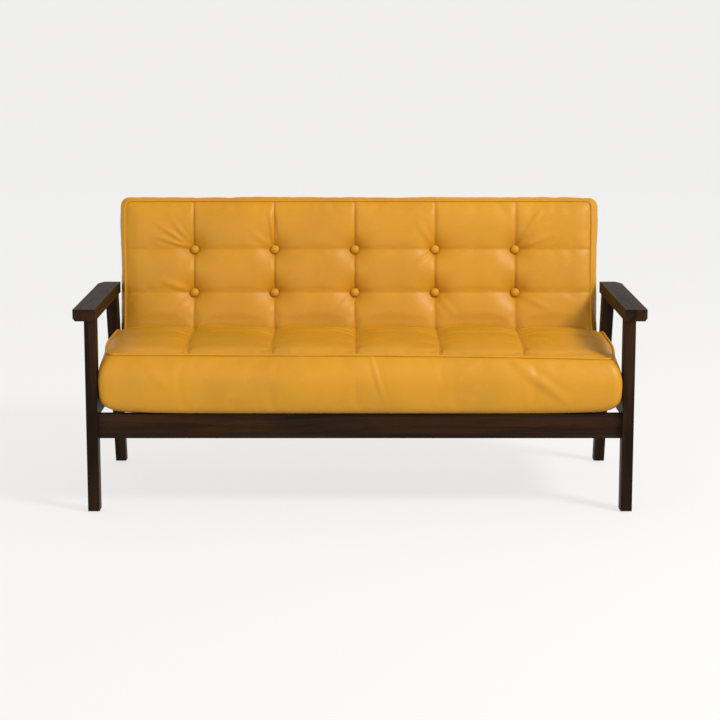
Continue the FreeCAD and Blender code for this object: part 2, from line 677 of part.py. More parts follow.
def button(x, along):
    """A covered button: a straight rim under a low dome, its back face where it meets the dimple."""
    radius = BUTTON_DIAMETER / 2
    dome = BUTTON_HEIGHT - BUTTON_RIM
    ball_radius = (radius ** 2 + dome ** 2) / (2 * dome)
    back = button_back()
    ball = Part.makeSphere(ball_radius, Vec(x, back - BUTTON_HEIGHT + ball_radius, along))
    blank = rod((x, back, along), (0, -1, 0), BUTTON_HEIGHT * 2, BUTTON_DIAMETER)
    return placed_on_back(blank.common(ball))


def anchors():
    discs = []
    for x, along in tuft_places:
        disc = rod((x, frame_front, along), (0, 1, 0), ANCHOR_THICKNESS, ANCHOR_DIAMETER)
        hole = rod((x, frame_front, along), (0, 1, 0), ANCHOR_THICKNESS, TWINE + 2 * GLUE_GAP)
        discs.append(placed_on_back(disc.cut(hole)))
    return discs


# ---- every piece, by name -------------------------------------------------------------------------
def both_sides(name, shape):
    return {f"{name}_right": [shape], f"{name}_left": [mirrored(shape)]}


def wooden_frame():
    pieces = {}
    for name, shape in (("front_leg", front_leg()), ("rear_leg", rear_leg()),
                        ("armrest", armrest()), ("side_rail", side_rail())):
        pieces.update(both_sides(name, shape))
    pieces["front_rail"] = [cross_rail(FRONT_RAIL_SETBACK)]
    pieces["rear_rail"] = [rear_rail()]
    pieces["centre_stretcher"] = [stretcher()]
    pieces["front_cleats"] = cleats(front_rail_back)
    pieces["rear_cleats"] = cleats(rear_rail_front - CLEAT)
    for number, middle in enumerate(slat_centres, 1):
        pieces[f"seat_slat_{number}"] = [slat(middle)]
    pieces["rail_bolts"] = rail_bolts()
    pieces["barrel_nuts"] = barrel_nuts()
    pieces["dowels"] = dowels()
    pieces["slat_screws"] = slat_screws()
    pieces["cleat_screws"] = cleat_screws()
    pieces["foot_glides"] = glides()
    return pieces


def seat_cushion():
    outer, inner = seat_form(0), seat_form(COVER)
    return {"seat_foam": [inner], "seat_cover": [outer.cut(inner)],
            "seat_piping": [seat_piping()], "seat_zip": [seat_zip()]}


def back_panel():
    outer, inner = back_form(0), back_form(COVER)
    top_inside = back_top - COVER
    pieces = both_sides("back_stile", back_stile(inner))
    pieces["back_top_rail"] = [back_rail(inner, (top_inside - BACK_RAIL_HEIGHT, top_inside))]
    pieces["back_bottom_rail"] = [back_rail(inner, (-BACK_FRAME_DEPTH, BACK_RAIL_HEIGHT))]
    for number, strut in enumerate(back_struts(), 1):
        pieces[f"back_strut_{number}"] = [strut]
    pieces["back_board"] = [back_board(inner)]
    pieces["back_foam"] = [back_foam(inner)]
    pieces["back_cover"] = [back_cover(outer, inner)]
    pieces["back_rear_cover"] = [rear_cover(outer)]
    pieces["back_piping"] = [back_piping(outer)]
    pieces["tufting_buttons"] = [button(x, along) for x, along in tuft_places]
    pieces["tufting_twine"] = twine_rods(TWINE, button_back(), frame_front + ANCHOR_THICKNESS)
    pieces["tufting_anchors"] = anchors()
    pieces["back_bolts"] = back_bolts()
    pieces["back_inserts"] = back_inserts()
    pieces["back_spacers"] = back_spacers()
    pieces["back_base_bolts"] = base_bolts()
    return pieces


def main():
    os.makedirs("parts", exist_ok=True)
    pieces = {**wooden_frame(), **seat_cushion(), **back_panel()}
    whole = Part.makeCompound([shape for group in pieces.values() for shape in group])
    bounds = whole.optimalBoundingBox(False)
    to_middle = Vec(0, -(bounds.YMin + bounds.YMax) / 2, 0)
    for name, group in pieces.items():
        shape = group[0] if len(group) == 1 else Part.makeCompound(group)
        shape = shape.copy()
        shape.translate(to_middle)
        shape.exportStep(f"parts/{name}.step")
        solids = len(shape.Solids)
        if solids != len(group) or not shape.isValid():
            print(f"{name}: {solids} solids for {len(group)} pieces, valid {shape.isValid()}")
    print(f"{len(pieces)} nodes; overall {bounds.XLength:.1f} x {bounds.YLength:.1f} x {bounds.ZLength:.1f}"
          f" mm; moved {to_middle.y:.2f} mm in Y")


main()
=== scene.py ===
import math

import bmesh
import bpy
from bpy.props import FloatProperty, FloatVectorProperty, IntProperty, PointerProperty
from mathutils import Matrix, Vector, noise
from mathutils.bvhtree import BVHTree


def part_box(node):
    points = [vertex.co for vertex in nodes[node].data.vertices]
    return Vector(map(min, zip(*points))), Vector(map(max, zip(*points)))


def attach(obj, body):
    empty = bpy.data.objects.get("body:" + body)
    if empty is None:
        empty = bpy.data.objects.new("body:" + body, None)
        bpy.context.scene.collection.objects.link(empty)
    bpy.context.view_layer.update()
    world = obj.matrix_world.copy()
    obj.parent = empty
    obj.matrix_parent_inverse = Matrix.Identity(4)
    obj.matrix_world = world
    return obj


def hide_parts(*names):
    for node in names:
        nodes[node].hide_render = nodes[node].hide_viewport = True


# A three-seat sofa with a dark wooden frame and mustard leather upholstery. The wooden and metal
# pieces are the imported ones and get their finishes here; the cushions, piping, buttons and
# stitching are made here. Metres; +X right as seen from the front, +Y to the back, +Z up.

bl_info = {
    "name": "Wooden-leg sofa",
    "version": (1, 0, 0),
    "blender": (4, 5, 0),
    "location": "View3D > Sidebar > Sofa",
    "description": "Upholsters and finishes a three-seat sofa on its wooden frame",
    "category": "Object",
}

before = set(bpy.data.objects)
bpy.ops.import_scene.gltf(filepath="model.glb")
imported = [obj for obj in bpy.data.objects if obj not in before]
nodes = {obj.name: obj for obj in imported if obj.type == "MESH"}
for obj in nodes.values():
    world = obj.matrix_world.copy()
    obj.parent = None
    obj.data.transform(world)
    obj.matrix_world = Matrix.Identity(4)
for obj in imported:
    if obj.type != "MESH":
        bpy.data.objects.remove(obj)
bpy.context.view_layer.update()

# ---- places that come from the frame ----------------------------------------------------------
SEAT_LOW, SEAT_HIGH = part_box("seat_cover")
BACK_LOW, BACK_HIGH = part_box("back_cover")
REAR_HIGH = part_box("back_rear_cover")[1]
RAIL_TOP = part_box("front_rail")[1].z
RECLINE = math.radians(12)
CROWN = 0.015                 # puff of the back in front of its piping
BACK_FOOT = BACK_LOW.y + CROWN / math.cos(RECLINE)
BACK_DEPTH = 0.1100           # from the back's piping to its rear panel
BACK_SEAM = (0.857 - RAIL_TOP) / math.cos(RECLINE)
SEAT_SEAM_Z = 0.4640
SEAT_SEAM_FRONT = SEAT_LOW.y + 0.0365
BACK_PIPING_HALF = 0.741      # half the width over the back's piping, which sits a little to the left
BACK_PIPING_SHIFT = -0.006
REAR_LEG_RISE = 0.57          # of a rear leg, from the floor to the armrest
REAR_LEG_RUN = 0.151          # how far its middle leans forward over that rise
BUTTON_SEAT = 0.0098          # a button's middle behind the plane of the piping
SEAT_BACK_CLEAR = 0.0015      # spare room for the piping between the seat and the back

SEAT_SEAMS = (-0.518, -0.2645, -0.0118, 0.2415, 0.493)
BACK_SEAMS = (-0.5275, -0.272, -0.0165, 0.239, 0.4945)
BACK_ROWS = (BACK_SEAM - 0.2895, BACK_SEAM - 0.152)


# ---- settings -----------------------------------------------------------------------------------
class SofaUpholstery(bpy.types.PropertyGroup):
    """Sizes of the cushions and their sewing."""
    grid: FloatProperty(name="Grid", description="Spacing of the cushions' mesh before it is subdivided",
                        default=0.010, min=0.005, max=0.03, unit="LENGTH")
    seat_puff: FloatProperty(name="Seat puff", description="Rise of a seat channel above its seams",
                             default=0.016, min=0.0, max=0.03, unit="LENGTH")
    back_puff: FloatProperty(name="Back puff", description="Rise of a back panel in front of its piping",
                             default=0.014, min=0.0, max=0.03, unit="LENGTH")
    button_depth: FloatProperty(name="Button depth", description="How far a button pulls the back in",
                                default=0.029, min=0.0, max=0.04, unit="LENGTH")
    piping: FloatProperty(name="Piping", description="Diameter of the covered cord",
                          default=0.0072, min=0.003, max=0.02, unit="LENGTH")
    stitch: FloatProperty(name="Stitch", description="Length of a stitch with its gap",
                          default=0.0062, min=0.003, max=0.02, unit="LENGTH")
    pressure: FloatProperty(name="Pressure", description="Pressure that swells the covers",
                            default=4.0, min=0.0, max=20.0)
    growth: FloatProperty(name="Slack", description="Spare leather, as a share of each length",
                          default=0.02, min=0.0, max=0.2, subtype="FACTOR")
    steps: IntProperty(name="Steps", description="Frames of the swelling", default=20, min=1, max=60)


class SofaFinish(bpy.types.PropertyGroup):
    """Colours of the leather, thread and wood."""
    leather: FloatVectorProperty(name="Leather", description="Colour of the upholstery", subtype="COLOR",
                                 size=4, default=(0.525, 0.236, 0.0085, 1.0), min=0.0, max=1.0)
    thread: FloatVectorProperty(name="Thread", description="Colour of the sewing thread", subtype="COLOR",
                                size=4, default=(0.38, 0.165, 0.012, 1.0), min=0.0, max=1.0)
    wood: FloatVectorProperty(name="Wood", description="Colour of the stained wood", subtype="COLOR",
                              size=4, default=(0.0170, 0.0072, 0.0022, 1.0), min=0.0, max=1.0)
    floor: FloatVectorProperty(name="Floor", description="Colour of the studio floor", subtype="COLOR",
                               size=4, default=(0.190, 0.188, 0.185, 1.0), min=0.0, max=1.0)


# ---- finishes -----------------------------------------------------------------------------------
class Value:
    """A shader socket that can be used in sums."""

    def __init__(self, finish, socket):
        self.finish, self.socket = finish, socket

    def sum(self, operation, first, second):
        return self.finish.node("ShaderNodeMath", {"operation": operation}, {0: first, 1: second})

    def __add__(self, other):
        return self.sum("ADD", self, other)

    def __radd__(self, other):
        return self.sum("ADD", other, self)

    def __sub__(self, other):
        return self.sum("SUBTRACT", self, other)

    def __rsub__(self, other):
        return self.sum("SUBTRACT", other, self)

    def __mul__(self, other):
        return self.sum("MULTIPLY", self, other)

    def __rmul__(self, other):
        return self.sum("MULTIPLY", other, self)

    def __pow__(self, other):
        return self.sum("POWER", self, other)


class Finish:
    """A material that is being put together."""

    def __init__(self, name):
        self.material = bpy.data.materials.new(name)
        self.material.use_nodes = True
        self.tree = self.material.node_tree
        self.tree.nodes.clear()

    def node(self, kind, settings=None, inputs=None, output=0):
        """Adds a node with its settings and the values or links of its sockets, and gives one output."""
        made = self.tree.nodes.new(kind)
        for name, value in (settings or {}).items():
            setattr(made, name, value)
        for name, value in (inputs or {}).items():
            if isinstance(value, Value):
                self.tree.links.new(value.socket, made.inputs[name])
            else:
                made.inputs[name].default_value = value
        return Value(self, made.outputs[output])

    def place(self, scale=(1, 1, 1), turn=(0, 0, 0)):
        """Positions on the piece, turned about X and stretched."""
        positions = self.node("ShaderNodeTexCoord", output="Object")
        turned = self.node("ShaderNodeMapping", None, {"Vector": positions, "Rotation": turn})
        return self.node("ShaderNodeMapping", None, {"Vector": turned, "Scale": scale})

    def noise(self, place, scale, detail=3.0, roughness=0.5, distortion=0.0):
        return self.node("ShaderNodeTexNoise", None,
                         {"Vector": place, "Scale": scale, "Detail": detail, "Roughness": roughness,
                          "Distortion": distortion})

    def stepped(self, value, low, high):
        """0 below low, 1 above high, smooth between."""
        return self.node("ShaderNodeMapRange", {"interpolation_type": "SMOOTHSTEP"},
                         {"Value": value, "From Min": low, "From Max": high})

    def mix(self, first, second, share):
        return self.node("ShaderNodeMix", {"data_type": "RGBA", "blend_type": "MIX"},
                         {0: share, 6: first, 7: second}, output=2)

    def bump(self, height, distance, strength=1.0, normal=None):
        inputs = {"Height": height, "Distance": distance, "Strength": strength}
        if normal is not None:
            inputs["Normal"] = normal
        return self.node("ShaderNodeBump", None, inputs)

    def done(self, **inputs):
        """Joins the values to the shader, whose sockets are named with _ for each space."""
        named = {name.replace("_", " "): value for name, value in inputs.items()}
        shader = self.node("ShaderNodeBsdfPrincipled", None, named)
        output = self.tree.nodes.new("ShaderNodeOutputMaterial")
        self.tree.links.new(shader.socket, output.inputs["Surface"])
        return self.material


def shade(colour, factor):
    """A colour made lighter or darker."""
    return (*(min(1.0, part * factor) for part in colour[:3]), 1.0)


def leather_finish(name, colour, grain=1.0):
    """Smooth satin leather: fine pebbles, faint mottling, duller in its seams, and darkened by painted shade
    where the sewn attribute is high.
    """
    finish = Finish(name)
    place = finish.place()
    cloud = finish.noise(place, 5.0, 4.0)
    mottle = finish.noise(place, 38.0, 3.0, 0.6)
    rubbed = finish.noise(place, 2.2, 2.0)
    pebble = finish.node("ShaderNodeTexVoronoi", {"feature": "SMOOTH_F1"},
                         {"Vector": place, "Scale": 620.0, "Smoothness": 0.6})
    pores = finish.noise(place, 1400.0, 2.0, 0.6)
    # the sewn attribute holds how much painted shade each place gets: seams, piping edges and button dimples
    seam = finish.node("ShaderNodeAttribute", {"attribute_name": "sewn"}, output="Fac")
    pucker = finish.noise(place, 95.0, 2.0, 0.5)
    base = finish.mix(colour, shade(colour, 0.91), finish.stepped(cloud, 0.38, 0.68))
    base = finish.mix(base, shade(colour, 1.07), finish.stepped(mottle, 0.50, 0.80) * 0.45)
    # painted shade: a darker, warmer copy of the leather laid into the seams, along the piping and round the
    # buttons
    painted_shade_colour = (colour[0] * 0.72, colour[1] * 0.50, colour[2] * 0.66, 1.0)
    base = finish.mix(base, painted_shade_colour, seam ** 1.6 * 0.62)
    roughness = 0.41 + cloud * 0.10 - finish.stepped(rubbed, 0.5, 0.75) * 0.05 + seam * 0.10
    height = pebble * 0.7 + pores * 0.3
    fine = finish.bump(height, 0.00022 * grain, 0.5)
    waves = finish.bump(pucker * (0.12 + seam * 0.88), 0.0016 * grain, 0.5, fine)
    return finish.done(Base_Color=base, Roughness=roughness, Normal=waves, Coat_Weight=0.03,
                       Coat_Roughness=0.35, Specular_IOR_Level=0.27)


def wood_finish(name, colour, along, turn=0.0, gloss=0.42, contrast=1.0):
    """Stained wood with its grain along one axis: 0 is X, 1 is Y and 2 is Z, turned about X."""
    finish = Finish(name)

    def stretched_place(across, lengthwise):
        scale = [across] * 3
        scale[along] = lengthwise
        return finish.place(tuple(scale), (turn, 0, 0))

    figure = finish.noise(stretched_place(26.0, 1.6), 1.0, 5.0, 0.55, 0.8)
    streak = finish.noise(stretched_place(150.0, 3.5), 1.0, 4.0, 0.6, 0.3)
    pore = finish.noise(stretched_place(900.0, 28.0), 1.0, 2.0, 0.5)
    worn = finish.noise(finish.place(), 9.0, 3.0, 0.6)
    dark, light = shade(colour, 1 - 0.45 * contrast), shade(colour, 1 + 0.75 * contrast)
    base = finish.mix(dark, light, finish.stepped(figure, 0.34, 0.68))
    base = finish.mix(base, shade(colour, 0.55), finish.stepped(streak, 0.50, 0.72) * 0.55)
    open_pores = finish.stepped(pore, 0.58, 0.70)
    base = finish.mix(base, shade(colour, 0.32), open_pores * 0.7)
    base = finish.mix(base, light, finish.stepped(worn, 0.62, 0.82) * 0.25)
    roughness = gloss + streak * 0.16 + open_pores * 0.18 - worn * 0.06
    grain = finish.bump(streak * 0.5 + (1 - open_pores) * 0.5, 0.00022, 0.55)
    return finish.done(Base_Color=base, Roughness=roughness, Normal=grain, Specular_IOR_Level=0.07)


def plywood_finish(name):
    """Sanded plywood: broad pale figure with fine lengthwise lines."""
    return wood_finish(name, (0.46, 0.30, 0.15, 1.0), 0, RECLINE, 0.62, 0.35)


def metal_finish(name):
    """Zinc-plated steel, faintly clouded and scratched."""
    finish = Finish(name)
    cloud = finish.noise(finish.place(), 140.0, 3.0)
    scratch = finish.noise(finish.place((900.0, 900.0, 60.0)), 1.0, 2.0)
    base = finish.mix((0.50, 0.51, 0.50, 1), (0.68, 0.67, 0.63, 1), cloud)
    return finish.done(Base_Color=base, Metallic=1.0, Roughness=0.27 + cloud * 0.16 + scratch * 0.08,
                       Normal=finish.bump(scratch, 0.00004, 0.4))


def plastic_finish(name, colour):
    """Moulded plastic with a fine spark texture."""
    finish = Finish(name)
    spark = finish.noise(finish.place(), 1500.0, 2.0)
    cloud = finish.noise(finish.place(), 60.0, 2.0)
    base = finish.mix(colour, shade(colour, 1.7), cloud * 0.5)
    return finish.done(Base_Color=base, Roughness=0.50 + spark * 0.14, Normal=finish.bump(spark, 0.00006, 0.5))


def foam_finish(name):
    """Open-cell foam."""
    finish = Finish(name)
    cells = finish.node("ShaderNodeTexVoronoi", {"feature": "F1"}, {"Vector": finish.place(), "Scale": 900.0})
    tint = finish.noise(finish.place(), 12.0, 3.0)
    base = finish.mix((0.80, 0.74, 0.50, 1), (0.88, 0.84, 0.66, 1), tint)
    base = finish.mix(base, (0.55, 0.48, 0.30, 1), finish.stepped(cells, 0.35, 0.75) * 0.5)
    return finish.done(Base_Color=base, Roughness=0.92, Normal=finish.bump(cells, 0.0006, 0.7))


def thread_finish(name, colour):
    """Twisted thread: fine turns along and a dry sheen."""
    finish = Finish(name)
    twist = finish.node("ShaderNodeTexWave", {"wave_type": "BANDS", "bands_direction": "DIAGONAL"},
                        {"Vector": finish.place(), "Scale": 900.0, "Distortion": 1.5})
    tone = finish.noise(finish.place(), 70.0, 2.0)
    base = finish.mix(shade(colour, 0.75), shade(colour, 1.2), twist * 0.6 + tone * 0.4)
    return finish.done(Base_Color=base, Roughness=0.62, Normal=finish.bump(twist, 0.0001, 0.5))


def zip_finish(name, colour):
    """Woven tape with a row of moulded teeth along its middle."""
    finish = Finish(name)
    teeth = finish.node("ShaderNodeTexWave", {"wave_type": "BANDS", "bands_direction": "X"},
                        {"Vector": finish.place(), "Scale": 105.0})
    weave = finish.node("ShaderNodeTexChecker", None, {"Vector": finish.place((1, 1, 1.4)), "Scale": 1300.0},
                        output="Fac")
    tone = finish.noise(finish.place(), 30.0, 2.0)
    base = finish.mix(shade(colour, 0.6), shade(colour, 0.85), weave * 0.4 + tone * 0.5)
    base = finish.mix(base, shade(colour, 0.35), finish.stepped(teeth, 0.55, 0.75) * 0.6)
    return finish.done(Base_Color=base, Roughness=0.7 - teeth * 0.2, Normal=finish.bump(teeth, 0.0006, 0.6))


def dress(names, material):
    """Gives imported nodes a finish."""
    for name in names:
        slots = nodes[name].data.materials
        slots.clear()
        slots.append(material)


# ---- making pieces ------------------------------------------------------------------------------
def new_piece(name, mesh_maker, material, body, replaced=()):
    """An object from a bmesh, smooth, finished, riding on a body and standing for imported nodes."""
    mesh = bpy.data.meshes.new(name)
    mesh_maker.to_mesh(mesh)
    mesh_maker.free()
    return mesh_piece(name, mesh, material, body, replaced)


def mesh_piece(name, mesh, material, body, replaced=()):
    mesh.shade_smooth()
    mesh.materials.clear()
    mesh.materials.append(material)
    piece = bpy.data.objects.new(name, mesh)
    bpy.context.scene.collection.objects.link(piece)
    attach(piece, body)
    if replaced:
        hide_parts(*replaced)
    return piece


def lines(stops, step):
    """Places of grid lines through all the stops, closer together near each stop."""
    places = [stops[0]]
    for low, high in zip(stops, stops[1:]):
        count = max(3, round((high - low) / step))
        for i in range(1, count + 1):
            t = i / count
            t -= 0.35 * math.sin(2 * math.pi * t) / (2 * math.pi)
            places.append(low + (high - low) * t)
        places[-1] = high
    return places


def gridded(across, deep, tall):
    """A closed box cut along the given grid lines, and the grid numbers of its vertices."""
    bm = bmesh.new()
    bmesh.ops.create_cube(bm, size=1.0)
    counts = [len(places) - 1 for places in (across, deep, tall)]
    for axis, count in enumerate(counts):
        along = [edge for edge in bm.edges if abs((edge.verts[0].co - edge.verts[1].co)[axis]) > 1e-6]
        bmesh.ops.subdivide_edges(bm, edges=along, cuts=count - 1, use_grid_fill=True)
    bm.verts.ensure_lookup_table()
    cells = []
    for vert in bm.verts:
        cell = tuple(round((vert.co[axis] + 0.5) * counts[axis]) for axis in range(3))
        cells.append(cell)
        vert.co = (across[cell[0]], deep[cell[1]], tall[cell[2]])
    return bm, cells, counts


def rounded(x, y, half, front, rear, front_radius, rear_radius):
    """A point of an upright-sided rectangle moved so that the rectangle's corners are round."""
    radius = front_radius if y < (front + rear) / 2 else rear_radius
    inner_x = max(-half + radius, min(half - radius, x))
    inner_y = max(front + radius, min(rear - radius, y))
    dx, dy = x - inner_x, y - inner_y
    reach = max(abs(dx), abs(dy))
    length = math.hypot(dx, dy)
    if reach < 1e-9 or abs(dx) < 1e-9 or abs(dy) < 1e-9:
        return x, y
    return inner_x + dx * reach / length, inner_y + dy * reach / length


def channel(value, seams, low, high):
    """0 at a seam or an edge and 1 half way between two."""
    stops = [low, *seams, high]
    for a, b in zip(stops, stops[1:]):
        if value <= b or b == high:
            t = max(0.0, min(1.0, (value - a) / (b - a)))
            return 4 * t * (1 - t)
    return 0.0


def nearest(value, seams):
    return min(abs(value - seam) for seam in seams)


def fold(point, start, end, width, height):
    """Height of one soft fold that runs from start to end and fades towards its end."""
    a, b = Vector(start), Vector(end)
    run = b - a
    t = (point - a).dot(run) / run.length_squared
    if not -0.15 < t < 1.15:
        return 0.0
    off = ((point - a) - run * t).length / width
    fade = math.sin(math.pi * max(0.0, min(1.0, (t + 0.15) / 1.3))) ** 0.8
    return height * fade * (math.exp(-off * off) - 0.45 * math.exp(-(off - 1.7) ** 2))


def swollen(piece, held, settings, caps):
    """Swells a cover by pressure. Its held vertices stay, and the others move as far as their caps."""
    start = [vert.co.copy() for vert in piece.data.vertices]
    group = piece.vertex_groups.new(name="held")
    group.add(held, 1.0, "REPLACE")
    cloth = piece.modifiers.new("Swelling", "CLOTH")
    cloth.settings.vertex_group_mass = group.name
    cloth.settings.use_pressure = True
    cloth.settings.uniform_pressure_force = settings.pressure
    cloth.settings.effector_weights.gravity = 0.0
    cloth.settings.shrink_min = -settings.growth
    cloth.settings.bending_stiffness = 2.0
    cloth.settings.air_damping = 4.0
    cloth.point_cache.frame_start, cloth.point_cache.frame_end = 1, settings.steps
    scene = bpy.context.scene
    for step in range(1, settings.steps + 1):
        scene.frame_set(step)
    shape = piece.evaluated_get(bpy.context.evaluated_depsgraph_get()).data
    moved = [vert.co - place for vert, place in zip(shape.vertices, start)]
    piece.modifiers.remove(cloth)
    piece.vertex_groups.remove(group)
    scene.frame_set(1)
    for vert, place, move, cap in zip(piece.data.vertices, start, moved, caps):
        vert.co = place + move * (cap / (cap + move.length))


def relaxed(piece, loose, rounds):
    """Smooths the vertices that aren't held."""
    bm = bmesh.new()
    bm.from_mesh(piece.data)
    bm.verts.ensure_lookup_table()
    verts = [bm.verts[i] for i in loose]
    for _ in range(rounds):
        bmesh.ops.smooth_vert(bm, verts=verts, factor=0.5, use_axis_x=True, use_axis_y=True, use_axis_z=True)
    bm.to_mesh(piece.data)
    bm.free()


def subdivided(piece, creases):
    """Subdivides a piece once for good, keeping its seams crisp."""
    layer = piece.data.attributes.new("crease_edge", "FLOAT", "EDGE")
    sewn = set(creases)
    values = [0.75 if sewn.issuperset(edge.vertices) else 0.0 for edge in piece.data.edges]
    layer.data.foreach_set("value", values)
    smoother = piece.modifiers.new("Smoother", "SUBSURF")
    smoother.levels = smoother.render_levels = 1
    shape = bpy.data.meshes.new_from_object(piece.evaluated_get(bpy.context.evaluated_depsgraph_get()))
    piece.modifiers.remove(smoother)
    old = piece.data
    piece.data = shape
    bpy.data.meshes.remove(old)
    shape.name = piece.name
    shape.shade_smooth()


def mark_painted_shade(piece, closeness):
    """Stores in the sewn attribute the painted shade of each vertex, high near its seams, piping and buttons,
    which the leather finish paints as a darker colour.
    """
    layer = piece.data.attributes.new("sewn", "FLOAT", "POINT")
    layer.data.foreach_set("value", [closeness(vert.co) for vert in piece.data.vertices])


def sculpted(piece, height):
    """Moves every vertex along its normal by a height worked out from its place."""
    normals = [vert.normal.copy() for vert in piece.data.vertices]
    places = [vert.co.copy() for vert in piece.data.vertices]
    for vert, normal, place in zip(piece.data.vertices, normals, places):
        vert.co = place + normal * height(place, normal)


def corded(name, points, diameter, closed, material, body, replaced):
    """Covered cord along points, as a mesh."""
    line = bpy.data.curves.new(name, "CURVE")
    line.dimensions = "3D"
    line.bevel_depth = diameter / 2
    line.bevel_resolution = 3
    line.use_fill_caps = not closed
    spline = line.splines.new("NURBS")
    spline.points.add(len(points) - 1)
    for target, point in zip(spline.points, points):
        target.co = (*point, 1.0)
    spline.order_u = 3
    spline.resolution_u = 3
    spline.use_cyclic_u = closed
    spline.use_endpoint_u = not closed
    carrier = bpy.data.objects.new(name, line)
    bpy.context.scene.collection.objects.link(carrier)
    mesh = bpy.data.meshes.new_from_object(carrier.evaluated_get(bpy.context.evaluated_depsgraph_get()))
    bpy.data.objects.remove(carrier)
    bpy.data.curves.remove(line)
    return mesh_piece(name, mesh, material, body, replaced)


def stitched(name, runs, surface, length, material, body):
    """Stitches along each run of points, laid on a piece's surface."""
    tree = BVHTree.FromObject(surface, bpy.context.evaluated_depsgraph_get())
    bm = bmesh.new()
    for run in runs:
        for here, way in paced(run, length):
            place, normal, _, _ = tree.find_nearest(here)
            side = normal.cross(way).normalized()
            ahead = side.cross(normal)
            turn = Matrix((ahead, side, normal)).transposed().to_4x4()
            size = Matrix.Diagonal((length * 0.40, 0.00055, 0.00055, 1.0))
            at = Matrix.Translation(place + normal * 0.0002)
            bmesh.ops.create_uvsphere(bm, u_segments=5, v_segments=4, radius=1.0, matrix=at @ turn @ size)
    return new_piece(name, bm, material, body)


def paced(run, step):
    """Places a step apart along a run of points, with the way that the run goes there."""
    left = step / 2
    for a, b in zip(run, run[1:]):
        way, reach = (b - a).normalized(), (b - a).length
        while left < reach:
            yield a + way * left, way
            left += step
        left -= reach


# ---- the seat cushion ---------------------------------------------------------------------------
def seat_rear(z):
    """Y of the seat cushion's rear face at a height."""
    return BACK_FOOT + (z - RAIL_TOP) * math.tan(RECLINE) - (CROWN + 0.003) / math.cos(RECLINE)


def seat_half(y):
    """Half the width over the top piping, which draws in towards the front."""
    t = min(1.0, max(0.0, (y - SEAT_SEAM_FRONT) / 0.24))
    return 0.7395 + 0.0235 * math.sin(t * math.pi / 2)


def seat_sag(share, deep):
    """How far the top has settled: down at the front right, and rolled down at the rear."""
    settled = -0.011 * max(0.0, share) ** 1.4 + 0.003 * max(0.0, -share) ** 2
    return settled * (1 - 0.6 * deep) - 0.014 * max(0.0, (deep - 0.86) / 0.14) ** 2


def seat_point(x, deep, tall, puff):
    """A place on the cushion from its grid place: x is metres, deep and tall run from 0 to 1."""
    share = x / SEAT_HIGH.x
    low, high = SEAT_LOW.z + 0.0002, SEAT_SEAM_Z
    z = low + (high - low) * tall
    flat_y = SEAT_SEAM_FRONT + (seat_rear(z) - SEAT_SEAM_FRONT) * deep
    widest = 0.57
    if tall > widest:
        bulge = math.sin(math.pi / 2 * (1 - tall) / (1 - widest)) ** 0.75
    else:
        bulge = 1 - 0.38 * ((widest - tall) / widest) ** 2
    edge = 0.019 + 0.024 * abs(share) ** 9
    drop = max(0.0, 1 - (z - low) / edge)
    tuck = edge * (1 - math.sqrt(max(0.0, 1 - drop * drop)))
    side_room = max(0.002, SEAT_HIGH.x - seat_half(flat_y))
    half = seat_half(flat_y) + bulge * side_room - tuck
    front = SEAT_SEAM_FRONT - bulge * 0.0365 * (1 - 0.25 * max(0.0, -share) ** 6) + tuck
    rear = seat_rear(z) - tuck * 0.5
    px, py = share * half, front + (rear - front) * deep
    px, py = rounded(px, py, half, front, rear, 0.026, 0.024)
    if tall >= 1:
        lift = 0.50 + 0.50 * channel(x, SEAT_SEAMS, -SEAT_HIGH.x, SEAT_HIGH.x) ** 0.5
        ends = (1 - (2 * deep - 1) ** 8) ** 0.7
        z += puff * lift * ends * max(0.0, 1 - abs(share) ** 14)
    z += seat_sag(share, deep) * tall
    return Vector((px, min(py, seat_rear(z)), z))


def seat_seam_path(seam, puff, count=60):
    return [seat_point(seam, 0.004 + 0.985 * i / count, 1.0, puff) for i in range(count + 1)]


def seat_loop():
    """The top piping's line round the cushion."""
    sides = 48
    across = [SEAT_HIGH.x * (2 * i / 150 - 1) for i in range(151)]
    front = [seat_point(x, 0.0, 1.0, 0) for x in across]
    right = [seat_point(SEAT_HIGH.x, i / sides, 1.0, 0) for i in range(1, sides)]
    rear = [seat_point(x, 1.0, 1.0, 0) for x in reversed(across)]
    left = [seat_point(SEAT_LOW.x, 1 - i / sides, 1.0, 0) for i in range(1, sides)]
    return front + right + rear + left


# ---- the back -----------------------------------------------------------------------------------
ALONG = Vector((0, math.sin(RECLINE), math.cos(RECLINE)))     # up the back's slope
INTO = Vector((0, math.cos(RECLINE), -math.sin(RECLINE)))     # square to its face, rearwards


def on_back(x, depth, along):
    """A place from the back's own directions."""
    return Vector((x, BACK_FOOT, RAIL_TOP)) + INTO * depth + ALONG * along


def from_back(point):
    """A place in the back's own directions."""
    offset = point - Vector((0, BACK_FOOT, RAIL_TOP))
    return point.x, offset.dot(INTO), offset.dot(ALONG)


def back_face(x, along, settings):
    """Depth of the front face behind the piping's plane: puffed panels, seams and buttons."""
    across = channel(x, BACK_SEAMS, -BACK_PIPING_HALF, BACK_PIPING_HALF)
    up = channel(along, BACK_ROWS, -0.02, BACK_SEAM)
    puff = settings.back_puff * (0.42 + 0.36 * across ** 0.4 + 0.22 * up ** 0.5)
    reach = min(math.hypot(x - seam, along - row) for seam in BACK_SEAMS for row in BACK_ROWS)
    sharp, broad = math.exp(-(reach / 0.022) ** 1.3), math.exp(-(reach / 0.045) ** 2)
    pull = settings.button_depth * (0.35 * sharp + 0.60 * broad)
    rim = min(1.0, (BACK_PIPING_HALF - abs(x)) / 0.035, (BACK_SEAM - along) / 0.035)
    return -puff * math.sqrt(max(0.0, rim)) + pull


